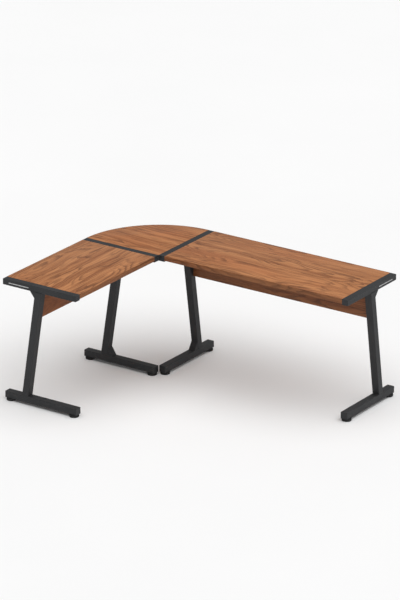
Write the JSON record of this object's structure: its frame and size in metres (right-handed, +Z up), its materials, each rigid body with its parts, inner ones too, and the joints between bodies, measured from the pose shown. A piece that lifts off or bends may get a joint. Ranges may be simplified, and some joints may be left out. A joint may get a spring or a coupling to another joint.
{
  "type": "corner desk",
  "caption": "L-shaped corner desk: long and short wood-grain wings, a quarter-round corner board, modesty panels, steel C-frames and levelling feet.",
  "frame": {"origin": "on the floor, at the middle of the desk's footprint", "axes": "+X along the long wing away from the corner board, +Y from the sitter towards the rear of the long wing, +Z up; the short wing runs towards -Y"},
  "size_m": [1.809, 1.329, 0.74],
  "materials": {
    "walnut_top": "walnut laminate, satin",
    "walnut_edge": "walnut edge band, satin",
    "walnut_panel": "walnut laminate, satin",
    "charcoal_steel": "fine-textured charcoal powder coat",
    "black_plastic": "moulded, fine grain",
    "foot_plastic": "moulded, dull",
    "zinc_steel": "zinc plated"
  },
  "bodies": {
    "desk": {"long_desktop": "walnut_top", "short_desktop": "walnut_top", "corner_desktop": "walnut_top", "long_edge_bands": "walnut_edge", "short_edge_bands": "walnut_edge", "corner_edge_band": "walnut_edge", "long_modesty_panel": "walnut_panel", "short_modesty_panel": "walnut_panel", "long_end_rail": "charcoal_steel", "long_end_upright": "charcoal_steel", "long_end_foot_bar": "charcoal_steel", "long_end_top_gusset": "charcoal_steel", "long_end_ledges": "charcoal_steel", "long_end_rail_caps": "black_plastic", "long_end_bar_caps": "black_plastic", "long_end_inserts": "zinc_steel", "long_corner_rail": "charcoal_steel", "long_corner_upright": "charcoal_steel", "long_corner_foot_bar": "charcoal_steel", "long_corner_top_gusset": "charcoal_steel", "long_corner_ledges": "charcoal_steel", "long_corner_foot_gusset": "charcoal_steel", "long_corner_rail_caps": "black_plastic", "long_corner_bar_caps": "black_plastic", "long_corner_inserts": "zinc_steel", "short_corner_rail": "charcoal_steel", "short_corner_upright": "charcoal_steel", "short_corner_foot_bar": "charcoal_steel", "short_corner_top_gusset": "charcoal_steel", "short_corner_ledges": "charcoal_steel", "short_corner_foot_gusset": "charcoal_steel", "short_corner_rail_caps": "black_plastic", "short_corner_bar_caps": "black_plastic", "short_corner_inserts": "zinc_steel", "short_end_rail": "charcoal_steel", "short_end_upright": "charcoal_steel", "short_end_foot_bar": "charcoal_steel", "short_end_top_gusset": "charcoal_steel", "short_end_ledges": "charcoal_steel", "short_end_rail_caps": "black_plastic", "short_end_bar_caps": "black_plastic", "short_end_inserts": "zinc_steel", "long_panel_brackets": "charcoal_steel", "short_panel_brackets": "charcoal_steel", "corner_tie_plate": "charcoal_steel", "ledge_screws": "zinc_steel", "bracket_screws": "zinc_steel", "tie_bolts": "zinc_steel"},
    "long_end_front_foot": {"long_end_front_foot": "foot_plastic"},
    "long_end_rear_foot": {"long_end_rear_foot": "foot_plastic"},
    "long_corner_front_foot": {"long_corner_front_foot": "foot_plastic"},
    "long_corner_rear_foot": {"long_corner_rear_foot": "foot_plastic"},
    "short_corner_front_foot": {"short_corner_front_foot": "foot_plastic"},
    "short_corner_rear_foot": {"short_corner_rear_foot": "foot_plastic"},
    "short_end_front_foot": {"short_end_front_foot": "foot_plastic"},
    "short_end_rear_foot": {"short_end_rear_foot": "foot_plastic"}
  },
  "joints": [
    {"name": "long_end_front_height", "type": "slide", "parent": "desk", "child": "long_end_front_foot", "axis": [0, 0, -1], "range_m": [0, 0.012]},
    {"name": "long_end_rear_height", "type": "slide", "parent": "desk", "child": "long_end_rear_foot", "axis": [0, 0, -1], "range_m": [0, 0.012]},
    {"name": "long_corner_front_height", "type": "slide", "parent": "desk", "child": "long_corner_front_foot", "axis": [0, 0, -1], "range_m": [0, 0.012]},
    {"name": "long_corner_rear_height", "type": "slide", "parent": "desk", "child": "long_corner_rear_foot", "axis": [0, 0, -1], "range_m": [0, 0.012]},
    {"name": "short_corner_front_height", "type": "slide", "parent": "desk", "child": "short_corner_front_foot", "axis": [0, 0, -1], "range_m": [0, 0.012]},
    {"name": "short_corner_rear_height", "type": "slide", "parent": "desk", "child": "short_corner_rear_foot", "axis": [0, 0, -1], "range_m": [0, 0.012]},
    {"name": "short_end_front_height", "type": "slide", "parent": "desk", "child": "short_end_front_foot", "axis": [0, 0, -1], "range_m": [0, 0.012]},
    {"name": "short_end_rear_height", "type": "slide", "parent": "desk", "child": "short_end_rear_foot", "axis": [0, 0, -1], "range_m": [0, 0.012]}
  ]
}
